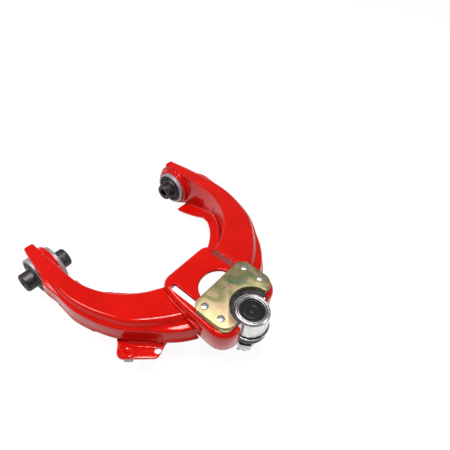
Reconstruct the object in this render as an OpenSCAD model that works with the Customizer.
// Upper control arm with a sliding ball joint for camber adjustment.
// Frame: origin midway between the two bushings on the pivot axis. +X runs to the near
// bushing, +Y outboard to the ball joint, +Z up. Millimetres.

/* [Pivot bushings] */
// Distance between the two bushing centres
pivot_span = 203; // [190:1:225]
// Outer diameter of the pressed-in sleeve
sleeve_od = 42; // [38:0.5:46]
// Wall of the pressed-in sleeve
sleeve_wall = 2.4; // [1.8:0.1:3.2]
// Length of the pressed-in sleeve
sleeve_len = 27; // [24:0.5:32]
// Outer diameter of the inner tube
inner_od = 21; // [19:0.5:23]
// Bolt bore of the inner tube
bolt_bore = 10.3; // [8.3:0.1:12.3]
// How far the inner tube stands out of the sleeve at each end
inner_proud = 13; // [9:0.5:16]

/* [Stamped legs] */
// Radius of the inner edge of the horseshoe
bend_radius = 86; // [80:0.5:92]
// Thickness of the sheet that the legs are stamped from
sheet = 2.6; // [2:0.1:3.2]
// Height of the top plate above the pivot axis at the bend
top_height = 28; // [26:0.5:31]
// Height of the underside seam above the pivot axis, outboard of the bend
seam_height = 6; // [4:0.5:10]
// Width of the ledge that the bottom cover forms inside the horseshoe
ledge = 16; // [10:0.5:18]

/* [Saddle] */
// Offset of the ball joint line from the middle of the arm
joint_offset = 12; // [6:0.5:16]
// Width of the saddle outboard of each slot's middle
rim_w = 12.6; // [11:0.1:15]
// Height of the saddle floor above the pivot axis
floor_height = 36.6; // [34:0.2:40]
// Depth of the saddle walls below the floor
saddle_depth = 25.6; // [20:0.2:30]
// Thickness of the saddle plate
saddle_t = 3; // [2.5:0.1:4]
// Gap between the ball joint housing and the edge of its opening
opening_gap = 3.7; // [3.2:0.1:4.5]
// Distance of each slot's middle from the edge of the opening
slot_from_opening = 8.8; // [8.2:0.1:10]
// Gap on each side of a clamp stud in its slot
slot_gap = 0.3; // [0.3:0.05:0.6]

/* [Ball joint] */
// Distance of the ball joint outboard of the pivot axis
reach = 209; // [203:0.5:214]
// Outer diameter of the housing
housing_od = 35.8; // [34:0.2:38]
// Height of the housing
housing_h = 24.4; // [23:0.2:27]
// Diameter of the ball
ball_d = 22; // [20:0.5:23]
// Diameter of the thread on the stud
thread_d = 12; // [10:0.5:12]
// Length of the boot under the housing
boot_h = 26; // [24:0.5:32]

/* [Adjuster] */
// Thickness of the upper adjuster plate
plate_t = 4; // [3:0.5:6]
// Thickness of the lower adjuster plate
lower_t = 3; // [2:0.5:4]
// Diameter of the four clamp studs
stud_d = 6; // [5:0.5:6]
// Distance between the two clamp studs in one slot
stud_pitch = 19.4; // [17:0.2:21]

/* [Hidden] */
round_fn = 96;
pivot_half = pivot_span / 2;
housing_r = housing_od / 2;
stud_r = stud_d / 2;
opening_r = housing_r + opening_gap;
slot_w = stud_d + 2 * slot_gap;
slot_offset = opening_r + slot_from_opening;
saddle_half = slot_offset + rim_w;
sleeve_r = sleeve_od / 2;
inner_r = inner_od / 2;
bolt_r = bolt_bore / 2;
rubber_r = sleeve_r - sleeve_wall;
// How far the rubber stops short of the sleeve's ends
rubber_in = 0.8;

// The inner wall of each leg stands inboard of its bushing centre, so that the sleeve
// shows on both sides of it.
web_inset = 3.5;
web_x = pivot_half - web_inset;
bend_x = web_x - bend_radius;
ear_r = sleeve_r + 7;
collar_r = sleeve_r + 3.5;
collar_len = 8;
// Path positions along a leg: distance outboard of the axis up to the bend, then arc length.
leg_end_s = -17;
saddle_overlap = 78;
bend_start = reach - bend_radius - saddle_overlap;
bend_end_a = 86;
bend_end_s = bend_start + bend_radius * bend_end_a * PI / 180;
bend_end_x = bend_x + bend_radius * cos(bend_end_a);
// Where the far leg is surely inside the saddle
saddle_in_x = saddle_half - joint_offset - 8;
straight_steps = 7;
bend_steps = 14;
stations = concat(
    [for (i = [0 : straight_steps - 1]) leg_end_s + (bend_start - leg_end_s) * i / straight_steps],
    [for (i = [0 : bend_steps]) bend_start + (bend_end_s - bend_start) * i / bend_steps],
    bend_end_x > saddle_in_x ? [bend_end_s + bend_end_x - saddle_in_x] : []);

// Saddle
floor_z = floor_height;
saddle_bottom = floor_z - saddle_depth;
saddle_y0 = reach - 88;
corner_r = 14;
corner_in = 3;
waist_half = saddle_half - 3;
lobe_r = 18;
lobe_x = saddle_half - lobe_r;
lobe_y = reach - 14;
opening_y = reach - 39;
slot_y0 = reach - 76;
slot_y1 = reach - 8;

// Ball joint heights
housing_top = floor_z + 2;
housing_bottom = housing_top - housing_h;
housing_wall = 2.6;
ball_r = ball_d / 2;
ball_z = housing_bottom + housing_h - 15.2;
mouth_r = ball_r - 0.9;
boot_bottom = housing_bottom - boot_h;
neck_r = 5;
run_gap = 0.06;
thread_r = thread_d / 2;
nut_gap = 3.2;
nut_h = 13;
nut_af = 19;
nut_slot_depth = 4.5;
nut_slot_w = 3.4;
nut_top = boot_bottom - nut_gap;
nut_bottom = nut_top - nut_h;
stud_bottom = nut_bottom - 1.2;
cotter_r = 1.2;
cotter_z = nut_bottom + nut_slot_depth / 2 + 0.4;

// Adjuster
plate_edge = 7.6;
plate_half = slot_offset + plate_edge;
plate_y0 = reach - 43.5;
plate_y1 = reach - 1;
notch_r = housing_r + 4.5;
plate_z0 = floor_z + lower_t;
plate_z1 = plate_z0 + plate_t;
stud_y1 = reach - 14;
stud_y0 = stud_y1 - stud_pitch;
head_r = stud_r + 0.7;
head_h = 1.5;
nut_hex_r = 1.87 * stud_r;
nut_hex_h = 5;
washer_r = 2.07 * stud_r;
washer_t = 1.2;
under_z = floor_z - saddle_t;

RED = "red";
ZINC = "gold";
STEEL = "silver";
RUBBER = [0.08, 0.08, 0.09];
PHOSPHATE = "dimgray";

// ---------- leg geometry ----------

// Path position at a share of the straight part, and at a share of the bend
function on_leg(f) = leg_end_s + f * (bend_start - leg_end_s);
function on_bend(f) = bend_start + f * (bend_end_s - bend_start);
// Distance from the inner edge to the first ridge at path position s
function top_width(s) = lookup(s, [[on_leg(0), 9], [on_leg(0.44), 12], [on_bend(0), 16],
    [on_bend(0.39), 25], [on_bend(0.52), 29], [on_bend(0.7), 32], [on_bend(0.89), 37]]);
// Distance from the inner edge to the outer lip, with a small flare before the bend
function lip_width(s) = lookup(s, [[on_leg(0), 11], [on_leg(0.44), 16.5], [on_leg(0.63), 18],
    [on_leg(0.77), 22.5], [on_leg(0.89), 23.5], [on_bend(0.04), 22], [on_bend(0.19), 26],
    [on_bend(0.29), 28.5], [on_bend(0.44), 34], [on_bend(0.62), 40], [on_bend(0.7), 46],
    [on_bend(0.84), 55], [on_bend(0.89), 57]]);
// Height of the top plate
function top_z(s) = lookup(s, [[on_leg(0), top_height - 0.6], [on_bend(0), top_height],
    [on_bend(0.9), top_height + 1]]);
// Height of the foot of the inner wall, which drops to wrap the bushing
function wall_foot(s) = lookup(s, [[on_leg(0), 3 - sleeve_r], [on_leg(0.6), 1 - sleeve_r],
    [on_bend(0), -14], [on_bend(0.12), -8], [on_bend(0.27), 2], [on_bend(0.39), seam_height]]);
// Height of the outer lip
function lip_z(s) = lookup(s, [[on_leg(0), top_height - 7], [on_leg(0.6), top_height - 11],
    [on_bend(0), 11], [on_bend(0.19), seam_height]]);
// How far the inner wall leans inwards at its foot
function lean(s) = lookup(s, [[on_leg(0.76), 0], [on_bend(0.27), 5]]);
// Depth of the step between the two ridges
function step(s) = lookup(s, [[on_leg(0), 0.8], [on_leg(0.76), 1.6], [on_bend(0.12), 3.4],
    [on_bend(0.9), 4]]);

// Root gap under the inner wall, which its weld closes
foot_gap = 0.7;
// Outer line of the section at s: pairs of distance outwards and height
function section(s) = let (w = top_width(s), f = lip_width(s) - w, z = top_z(s), d = step(s))
    [[-lean(s), wall_foot(s) + foot_gap], [-0.4, z - 2.4], [0.6, z - 0.6], [2.4, z], [w - 1, z],
     [w + 0.18 * f, z - 0.6 * d], [w + 0.4 * f, z - d], [w + 0.72 * f, z - 1.15 * d],
     [w + 0.84 * f, z - 1.8 * d], [w + 0.88 * f, lip_z(s) + 1.6], [lip_width(s), lip_z(s)]];

function unit(v) = v / norm(v);
function side(v) = [v[1], -v[0]];
// Line moved sideways by d, mitred at its corners
function beside(line, d) = [for (i = [0 : len(line) - 1])
    let (a = unit(line[min(i + 1, len(line) - 1)] - line[min(i, len(line) - 2)]),
         b = unit(line[max(i, 1)] - line[max(i - 1, 0)]),
         m = unit(side(a) + side(b)))
    line[i] + m * d / max(m * side(a), 0.6)];

// Under line of the sheet at s, held clear of itself where the outer step is narrow
step_from = 4;
step_low = 6;
fold_gap = 0.1;
function under(s) = let (p = beside(section(s), sheet), last = len(p) - 2)
    [for (i = [0 : last + 1]) i < step_from || i >= last ? p[i]
        : [min(p[i][0], p[last][0] - fold_gap * (last - i)), min(p[i][1], p[min(i, step_low)][1])]];

// Place of a section point: distance outwards n and height z at path position s
function turn(s) = (s - bend_start) / bend_radius * 180 / PI;
function place(s, n, z) = s < bend_start ? [web_x + n, s, z]
    : let (a = min(turn(s), bend_end_a), run = max(s - bend_end_s, 0))
      [bend_x + (bend_radius + n) * cos(a) - run * sin(bend_end_a),
       bend_start + (bend_radius + n) * sin(a) + run * cos(bend_end_a), z];

// Solid through a list of rings with equal, even numbers of points, closed by strips that
// join point i of an end ring to its partner across the section
module sweep(rings) {
    n = len(rings[0]);
    m = len(rings);
    polyhedron(
        points = [for (r = rings) each r],
        faces = concat(
            [for (i = [0 : n / 2 - 2])
                each [[i, i + 1, n - 1 - i], [i + 1, n - 2 - i, n - 1 - i]]],
            [for (j = [0 : m - 2], i = [0 : n - 1]) let (k = (i + 1) % n)
                each [[j * n + i, (j + 1) * n + i, (j + 1) * n + k],
                      [j * n + i, (j + 1) * n + k, j * n + k]]],
            [for (i = [0 : n / 2 - 2]) let (b = (m - 1) * n, e = b + n - 1)
                each [[e - i, b + i + 1, b + i], [e - i, e - 1 - i, b + i + 1]]]),
        convexity = 8);
}

// Ring of a sheet section, from its outer line and the same line a sheet further in
function sheet_ring(s) = let (top = section(s), low = under(s))
    [for (p = concat(top, [for (i = [len(low) - 1 : -1 : 0]) low[i]])) place(s, p[0], p[1])];

// Ring of a flat strip between two distances outwards, with its top at two heights
function strip_ring(s, n0, n1, z0, z1) = [place(s, n0, z0 - sheet), place(s, n0, z0),
    place(s, n1, z1), place(s, n1, z1 - sheet)];

// Space that the saddle takes out of both legs, and the strip inboard of it
module saddle_space() {
    low = -60;
    tall = 140;
    inner_half = waist_half - corner_r + 2;
    translate([joint_offset, 0, low]) linear_extrude(tall) {
        polygon(saddle_outline(0));
        translate([-inner_half, saddle_y0 - 40]) square([2 * inner_half, 60]);
    }
}

module at_bushing(x) translate([x, 0, 0]) rotate([0, 90, 0]) children();

// One stamped shell: top plate, inner wall with a round ear and a drawn collar, stepped
// outer edge
module leg_shell() {
    difference() {
        union() {
            sweep([for (s = stations) sheet_ring(s)]);
            at_bushing(web_x) cylinder(h = sheet, r = ear_r, $fn = round_fn);
            at_bushing(web_x - collar_len) cylinder(h = collar_len + sheet, r = collar_r,
                $fn = round_fn);
        }
        at_bushing(web_x - collar_len - 1) cylinder(h = collar_len + sheet + 2, r = sleeve_r,
            $fn = round_fn);
        // The top strip clears the end of the sleeve that stands outside the web
        at_bushing(web_x + sheet) cylinder(h = sleeve_len, r = sleeve_r + 0.6, $fn = round_fn);
    }
}

cover_full_s = on_bend(0.32);
inner_prong_s = on_leg(0.61);
outer_prong_s = on_bend(0.04);
cover_end_s = stations[len(stations) - 1];
prong_w = 7;
// Height of the underside of the outer lip, with the same root gap
function under_lip(s) = lip_z(s) - sheet - foot_gap;
function cover_steps(a, b, n) = [for (i = [0 : n]) a + (b - a) * i / n];

// Bottom cover: two prongs reach along the ledge and the lip towards the bushing, and a
// drain hole is in the closed part
module leg_cover() {
    drain_s = on_bend(0.61);
    drain_n = 16;
    drain_len = 9;
    drain_r = 6;
    difference() {
        union() {
            sweep([for (s = concat(cover_steps(cover_full_s, bend_end_s, 10),
                    cover_end_s > bend_end_s ? [cover_end_s] : []))
                strip_ring(s, -ledge, lip_width(s), wall_foot(s), under_lip(s))]);
            sweep([for (s = cover_steps(inner_prong_s, cover_full_s + 1, 9))
                strip_ring(s, -ledge, 0, wall_foot(s), wall_foot(s))]);
            sweep([for (s = cover_steps(outer_prong_s, cover_full_s + 1, 5))
                strip_ring(s, lip_width(s) - prong_w, lip_width(s), under_lip(s), under_lip(s))]);
        }
        translate(place(drain_s, drain_n, seam_height - 2 * sheet))
            rotate([0, 0, turn(drain_s) + 90])
                for (d = [-1 : 1]) translate([d * drain_len / 4, 0, 0])
                    cylinder(h = 4 * sheet, r = drain_r, $fn = 48);
    }
}

module near_leg_shell() color(RED) difference() { leg_shell(); saddle_space(); }

module far_leg_shell() color(RED) difference() { mirror([1, 0, 0]) leg_shell(); saddle_space(); }

module near_leg_cover() color(RED) difference() { leg_cover(); saddle_space(); }

module far_leg_cover() color(RED) difference() { mirror([1, 0, 0]) leg_cover(); saddle_space(); }

// ---------- saddle ----------

function arc(cx, cy, r, a0, a1, n) = [for (i = [0 : n]) let (a = a0 + (a1 - a0) * i / n)
    [cx + r * cos(a), cy + r * sin(a)]];
function flip(points) = [for (i = [len(points) - 1 : -1 : 0]) [-points[i][0], points[i][1]]];
// Half outline of the saddle from its inboard edge round a lobe, inset by d
function saddle_half_outline(d) = concat(
    arc(waist_half - corner_r - corner_in, saddle_y0 + corner_r, corner_r - d, -90, -15, 6),
    [[waist_half - d, saddle_y0 + 26]],
    arc(lobe_x, lobe_y, lobe_r - d, 0, 104, 10));
function saddle_outline(d) = concat(saddle_half_outline(d), flip(saddle_half_outline(d)));

// Opening for the ball joint: round inboard end, open outboard
module joint_opening(r) {
    far_out = 80;
    translate([0, opening_y]) circle(r = r, $fn = round_fn);
    translate([-r, opening_y]) square([2 * r, far_out]);
}

module saddle() color(RED) translate([joint_offset, 0, 0]) difference() {
    translate([0, 0, saddle_bottom]) linear_extrude(saddle_depth) polygon(saddle_outline(0));
    translate([0, 0, saddle_bottom - 1]) linear_extrude(saddle_depth + 1 - saddle_t)
        polygon(saddle_outline(saddle_t));
    translate([0, 0, saddle_bottom - 1]) linear_extrude(saddle_depth + 2)
        joint_opening(opening_r);
    for (x = [-slot_offset, slot_offset]) translate([x, 0, under_z - 1]) {
        translate([-slot_w / 2, slot_y0 + slot_w / 2, 0])
            cube([slot_w, slot_y1 - slot_y0 - slot_w, saddle_t + 2]);
        for (y = [slot_y0 + slot_w / 2, slot_y1 - slot_w / 2])
            translate([0, y, 0]) cylinder(h = saddle_t + 2, d = slot_w, $fn = 48);
    }
}

// ---------- bracket on the near leg ----------

tab_s = on_bend(0.5965);
tab_turn = 99;
tab_half = 24.5;
tab_proud = 15;
tab_grip = 10;
tab_r = 6;
tab_t = 3;
tab_z1 = under_lip(tab_s) - sheet;
tab_slant = 8;
tab_hole_d = 6.8;
hole_x = 13.8;
hole_y = 7.6;
nut_flat = 13;
nut_tall = 6.5;
nut_bore = 6.8;
boss_h = 0.8;

// Frame of the tab: +X towards the bushing, +Y outwards, on the outer lip at tab_s
module on_tab() {
    translate(place(tab_s, lip_width(tab_s), tab_z1 - tab_t)) rotate([0, 0, turn(tab_s) - tab_turn])
        children();
}
module bracket_tab() color(RED) on_tab() difference() {
    union() {
        linear_extrude(tab_t) polygon(concat(
            [[-tab_half - 2, -tab_grip], [tab_half, -tab_grip]],
            arc(tab_half - tab_r, tab_proud - tab_r, tab_r, 0, 90, 6),
            arc(-tab_half + tab_slant + tab_r, tab_proud - tab_r, tab_r, 90, 155, 6)));
        translate([hole_x, hole_y, 0]) cylinder(h = tab_t + boss_h, d = nut_flat, $fn = 48);
    }
    for (x = [-hole_x, hole_x]) translate([x, hole_y, -1])
        cylinder(h = tab_t + boss_h + 2, d = x > 0 ? nut_bore : tab_hole_d, $fn = 48);
}
module weld_nut() color(STEEL) on_tab() translate([hole_x, hole_y, -nut_tall]) difference() {
    cylinder(h = nut_tall, d = nut_flat / cos(30), $fn = 6);
    translate([0, 0, -1]) cylinder(h = nut_tall + 2, d = nut_bore, $fn = 48);
}

// ---------- weld beads where the legs meet the saddle ----------

bead_r = 1.6;
// Points of a bead along one wall of the saddle, on the top plates
function bead_line(sign) = [for (y = [saddle_y0 + 14 : 6 : saddle_y0 + 62])
    [joint_offset + sign * (waist_half + 0.6 + 3 * min((y - saddle_y0 - 14) / 50, 1)), y,
     top_height + 1.6]];
function bead_ring(p) = [for (i = [0 : 7]) p + [bead_r * cos(i * 45), 0, bead_r * sin(i * 45)]];
module weld_beads() color(RED) for (sign = [-1, 1]) difference() {
    sweep([for (p = bead_line(sign)) bead_ring(p)]);
    saddle_space();
}

// ---------- bushings ----------

module sleeve(x) color(PHOSPHATE) at_bushing(x - sleeve_len / 2) difference() {
    cylinder(h = sleeve_len, r = sleeve_r, $fn = round_fn);
    translate([0, 0, -1]) cylinder(h = sleeve_len + 2, r = rubber_r, $fn = round_fn);
}
// Rubber with a rolled lip around the inner tube at each end
module rubber(x) {
    lip = 2.2;
    dish = 1;
    wide = rubber_r - inner_r;
    half = sleeve_len / 2 - rubber_in;
    hole_r = inner_r + run_gap;
    lip_r = inner_r + min(2, 0.25 * wide);
    dish_r0 = inner_r + min(4, 0.5 * wide);
    dish_r1 = rubber_r - min(3.5, 0.44 * wide);
    rim_r = rubber_r - min(1.5, 0.19 * wide);
    color(RUBBER) at_bushing(x) rotate_extrude($fn = round_fn) polygon(concat(
        [[hole_r, -half - lip], [lip_r, -half - lip], [dish_r0, -half + dish],
         [dish_r1, -half + dish], [rim_r, -half], [rubber_r, -half]],
        [[rubber_r, half], [rim_r, half], [dish_r1, half - dish],
         [dish_r0, half - dish], [lip_r, half + lip], [hole_r, half + lip]]));
}
module inner_tube(x) {
    half = sleeve_len / 2 + inner_proud;
    chamfer = 1.4;
    color(RUBBER) at_bushing(x) rotate_extrude($fn = round_fn) polygon([
        [bolt_r, -half], [inner_r - chamfer, -half], [inner_r, -half + chamfer],
        [inner_r, half - chamfer], [inner_r - chamfer, half], [bolt_r, half]]);
}
module near_sleeve() sleeve(pivot_half);
module far_sleeve() sleeve(-pivot_half);
module near_rubber() rubber(pivot_half);
module far_rubber() rubber(-pivot_half);
module near_inner_tube() inner_tube(pivot_half);
module far_inner_tube() inner_tube(-pivot_half);

// ---------- adjuster ----------

module at_joint(z) translate([joint_offset, reach, z]) children();
// Outline of an adjuster plate with a corner radius of c inboard and r outboard
function plate_half_outline(c, r) = concat(
    [[plate_half - c, plate_y0], [plate_half, plate_y0 + c]],
    arc(plate_half - r, plate_y1 - r, r, 0, 90, 8));
module plate_blank(c, r, t) difference() {
    linear_extrude(t) polygon(concat(plate_half_outline(c, r), flip(plate_half_outline(c, r))));
    translate([0, reach, -1]) cylinder(h = t + 2, r = notch_r, $fn = round_fn);
    for (x = [-slot_offset, slot_offset], y = [stud_y0, stud_y1]) translate([x, y, -1])
        cylinder(h = t + 2, r = stud_r, $fn = 48);
}
plate_cut = 6;
upper_corner = 12;
lower_corner = 9;
module adjuster_plate() color(ZINC) translate([joint_offset, 0, plate_z0])
    plate_blank(plate_cut, upper_corner, plate_t);
module lower_plate() color(ZINC) translate([joint_offset, 0, floor_z])
    plate_blank(plate_cut, lower_corner, lower_t);

module at_studs() for (x = [-slot_offset, slot_offset], y = [stud_y0, stud_y1])
    translate([joint_offset + x, y, 0]) children();
// Round-headed studs pressed through both plates
module clamp_studs() color(STEEL) at_studs() {
    stud_z0 = under_z - washer_t - nut_hex_h - 2;
    translate([0, 0, stud_z0]) cylinder(h = plate_z1 - stud_z0, r = stud_r, $fn = 48);
    translate([0, 0, plate_z1]) rotate_extrude($fn = 48)
        polygon([[0, 0], [head_r, 0], [head_r - 0.3, 0.4 * head_h], [head_r - 1.4, 0.8 * head_h],
            [0, head_h]]);
}
module clamp_washers() color(STEEL) at_studs() translate([0, 0, under_z - washer_t])
    difference() {
        cylinder(h = washer_t, r = washer_r, $fn = 48);
        translate([0, 0, -1]) cylinder(h = washer_t + 2, r = stud_r, $fn = 48);
    }
module clamp_nuts() color(STEEL) at_studs()
    translate([0, 0, under_z - washer_t - nut_hex_h]) difference() {
        cylinder(h = nut_hex_h, r = nut_hex_r, $fn = 6);
        translate([0, 0, -1]) cylinder(h = nut_hex_h + 2, r = stud_r, $fn = 48);
    }

// ---------- ball joint ----------

lid_t = 2.4;
ring_r = housing_r - 3.4;
label_r = housing_r - 5.4;
lip_t = 1.2;
seat_top = ball_z + 5;
spring_t = 1;
cap_bottom = housing_top - lip_t - lid_t;
seat_r = housing_r - housing_wall;
groove_r = housing_r - 1.4;
groove_h = 2.6;

// Turned housing: the rim is rolled over the end cap, and a groove near the mouth holds
// the boot
module joint_housing() color(STEEL) at_joint(0) rotate_extrude($fn = round_fn) polygon([
    [mouth_r, housing_bottom], [groove_r, housing_bottom],
    [groove_r, housing_bottom + groove_h], [housing_r, housing_bottom + groove_h],
    [housing_r, housing_top - 1.4], [housing_r - 1.2, housing_top], [ring_r, housing_top],
    [ring_r, housing_top - lip_t], [seat_r, housing_top - lip_t],
    [seat_r, housing_bottom + 2], [mouth_r, housing_bottom + 2]]);

// Bead that joins the housing to both plates
module housing_weld() color(PHOSPHATE) at_joint(floor_z + 0.4) difference() {
    cylinder(h = 1.4, r = notch_r, $fn = round_fn);
    translate([0, 0, -1]) cylinder(h = 4, r = housing_r, $fn = round_fn);
    translate([-notch_r - 1, 0, -1]) cube([2 * notch_r + 2, notch_r + 2, 4]);
}

// Moulded seat that wraps the ball
module bearing_seat() color("ivory") at_joint(0) difference() {
    translate([0, 0, housing_bottom + 2])
        cylinder(h = seat_top - housing_bottom - 2, r = seat_r, $fn = round_fn);
    translate([0, 0, ball_z]) sphere(r = ball_r + run_gap, $fn = round_fn);
    translate([0, 0, housing_bottom]) cylinder(h = ball_z - housing_bottom - sqrt(ball_r * ball_r
        - mouth_r * mouth_r), r = mouth_r, $fn = round_fn);
}
// Conical spring washer that keeps the seat tight
module preload_washer() {
    spring_r0 = seat_r - 5;
    spring_r1 = seat_r - 0.6;
    color(STEEL) at_joint(0) rotate_extrude($fn = round_fn) polygon([
        [spring_r0, cap_bottom - spring_t], [spring_r0, cap_bottom],
        [spring_r1, seat_top + spring_t], [spring_r1, seat_top]]);
}
module end_cap() color(STEEL) at_joint(0) rotate_extrude($fn = round_fn) polygon([
    [0, cap_bottom], [seat_r, cap_bottom], [seat_r, cap_bottom + lid_t], [ring_r, cap_bottom + lid_t],
    [ring_r - 0.8, housing_top - 0.6], [label_r, housing_top - 0.6], [label_r, housing_top - 1.2],
    [0, housing_top - 1.2]]);
module cap_label() color("black") at_joint(housing_top - 1.2)
    cylinder(h = 0.4, r = label_r - 0.2, $fn = round_fn);

module ball_stud() color(STEEL) at_joint(0) difference() {
    union() {
        translate([0, 0, ball_z]) sphere(r = ball_r, $fn = round_fn);
        rotate_extrude($fn = round_fn) polygon([[0, stud_bottom], [thread_r - 1, stud_bottom],
            [thread_r, stud_bottom + 1], [thread_r, boot_bottom + 2], [neck_r, boot_bottom + 6],
            [neck_r, ball_z], [0, ball_z]]);
    }
    translate([-thread_r - 2, 0, cotter_z]) rotate([0, 90, 0])
        cylinder(h = 2 * thread_r + 4, r = cotter_r, $fn = 32);
}

// Rubber boot with three stepped folds: each pair is how much wider than the neck it is, as
// a share of the whole widening, and how far down it is, as a share of the boot's height
boot_wall = 1.3;
boot_neck = thread_r + 3;
BOOT_FOLDS = [[1.267, 0], [1.213, 0.192], [1.253, 0.269], [1.027, 0.423], [0.68, 0.5],
    [0.653, 0.615], [0.28, 0.731], [0.253, 0.781], [0, 0.808], [-0.053, 0.962]];
function boot_profile(d) = [for (f = BOOT_FOLDS)
    [boot_neck + f[0] * (groove_r - boot_neck) - d, housing_bottom - f[1] * boot_h]];
module dust_boot() {
    cuff_z = housing_bottom + groove_h - 0.6;
    cuff_t = 1.6;
    tuck_z = housing_bottom - 0.4;
    color(RUBBER) at_joint(0) rotate_extrude($fn = round_fn) polygon(concat(
        [[groove_r, cuff_z], [groove_r + cuff_t, cuff_z]], boot_profile(0),
        [for (i = [len(BOOT_FOLDS) - 1 : -1 : 1]) boot_profile(boot_wall)[i]],
        [[groove_r - boot_wall, tuck_z], [groove_r, tuck_z]]));
}
// Wire ring round the wide end of the boot
module boot_clamp() {
    wire_r = 0.6;
    color(STEEL) at_joint(housing_bottom + 0.9) rotate_extrude($fn = round_fn)
        translate([groove_r + 2 + wire_r, 0]) circle(r = wire_r, $fn = 16);
}
// Collar that seals the narrow end on the stud
module boot_collar() {
    collar_down = 2.4;
    collar_h = collar_down + 0.038 * boot_h;
    color(RUBBER) at_joint(boot_bottom - collar_down) difference() {
        cylinder(h = collar_h, r = boot_neck - 0.4, $fn = round_fn);
        translate([0, 0, -1]) cylinder(h = collar_h + 2, r = thread_r + run_gap, $fn = round_fn);
    }
}

module castle_nut() color(STEEL) at_joint(nut_bottom) difference() {
    union() {
        translate([0, 0, nut_slot_depth]) cylinder(h = nut_h - nut_slot_depth,
            d = nut_af / cos(30), $fn = 6);
        cylinder(h = nut_h - 1, d = nut_af - 1.6, $fn = round_fn);
    }
    translate([0, 0, -1]) cylinder(h = nut_h + 2, r = thread_r, $fn = round_fn);
    for (a = [0, 60, 120]) rotate([0, 0, a]) translate([-nut_af, -nut_slot_w / 2, -1])
        cube([2 * nut_af, nut_slot_w, nut_slot_depth + 1]);
}
// Split pin through the stud, its two legs bent apart
module cotter_pin() color(STEEL) at_joint(cotter_z) {
    pin_half = nut_af / 2 + 2.1;
    eye_r = 1.8;
    wire_r = 0.9;
    leg_len = 7;
    leg_r = 0.8;
    splay = 20;
    translate([-pin_half, 0, 0]) rotate([0, 90, 0])
        cylinder(h = 2 * pin_half, r = cotter_r, $fn = 32);
    translate([-pin_half - eye_r + 0.2, 0, 0]) rotate([90, 0, 0]) rotate_extrude($fn = 32)
        translate([eye_r, 0]) circle(r = wire_r, $fn = 16);
    translate([pin_half, 0, cotter_r - leg_r]) rotate([0, splay, 0])
        cylinder(h = leg_len, r = leg_r, $fn = 24);
}

near_leg_shell();
far_leg_shell();
near_leg_cover();
far_leg_cover();
saddle();
bracket_tab();
weld_nut();
weld_beads();
near_sleeve();
far_sleeve();
near_rubber();
far_rubber();
near_inner_tube();
far_inner_tube();
adjuster_plate();
lower_plate();
clamp_studs();
clamp_washers();
clamp_nuts();
joint_housing();
housing_weld();
bearing_seat();
preload_washer();
end_cap();
cap_label();
ball_stud();
dust_boot();
boot_clamp();
boot_collar();
castle_nut();
cotter_pin();
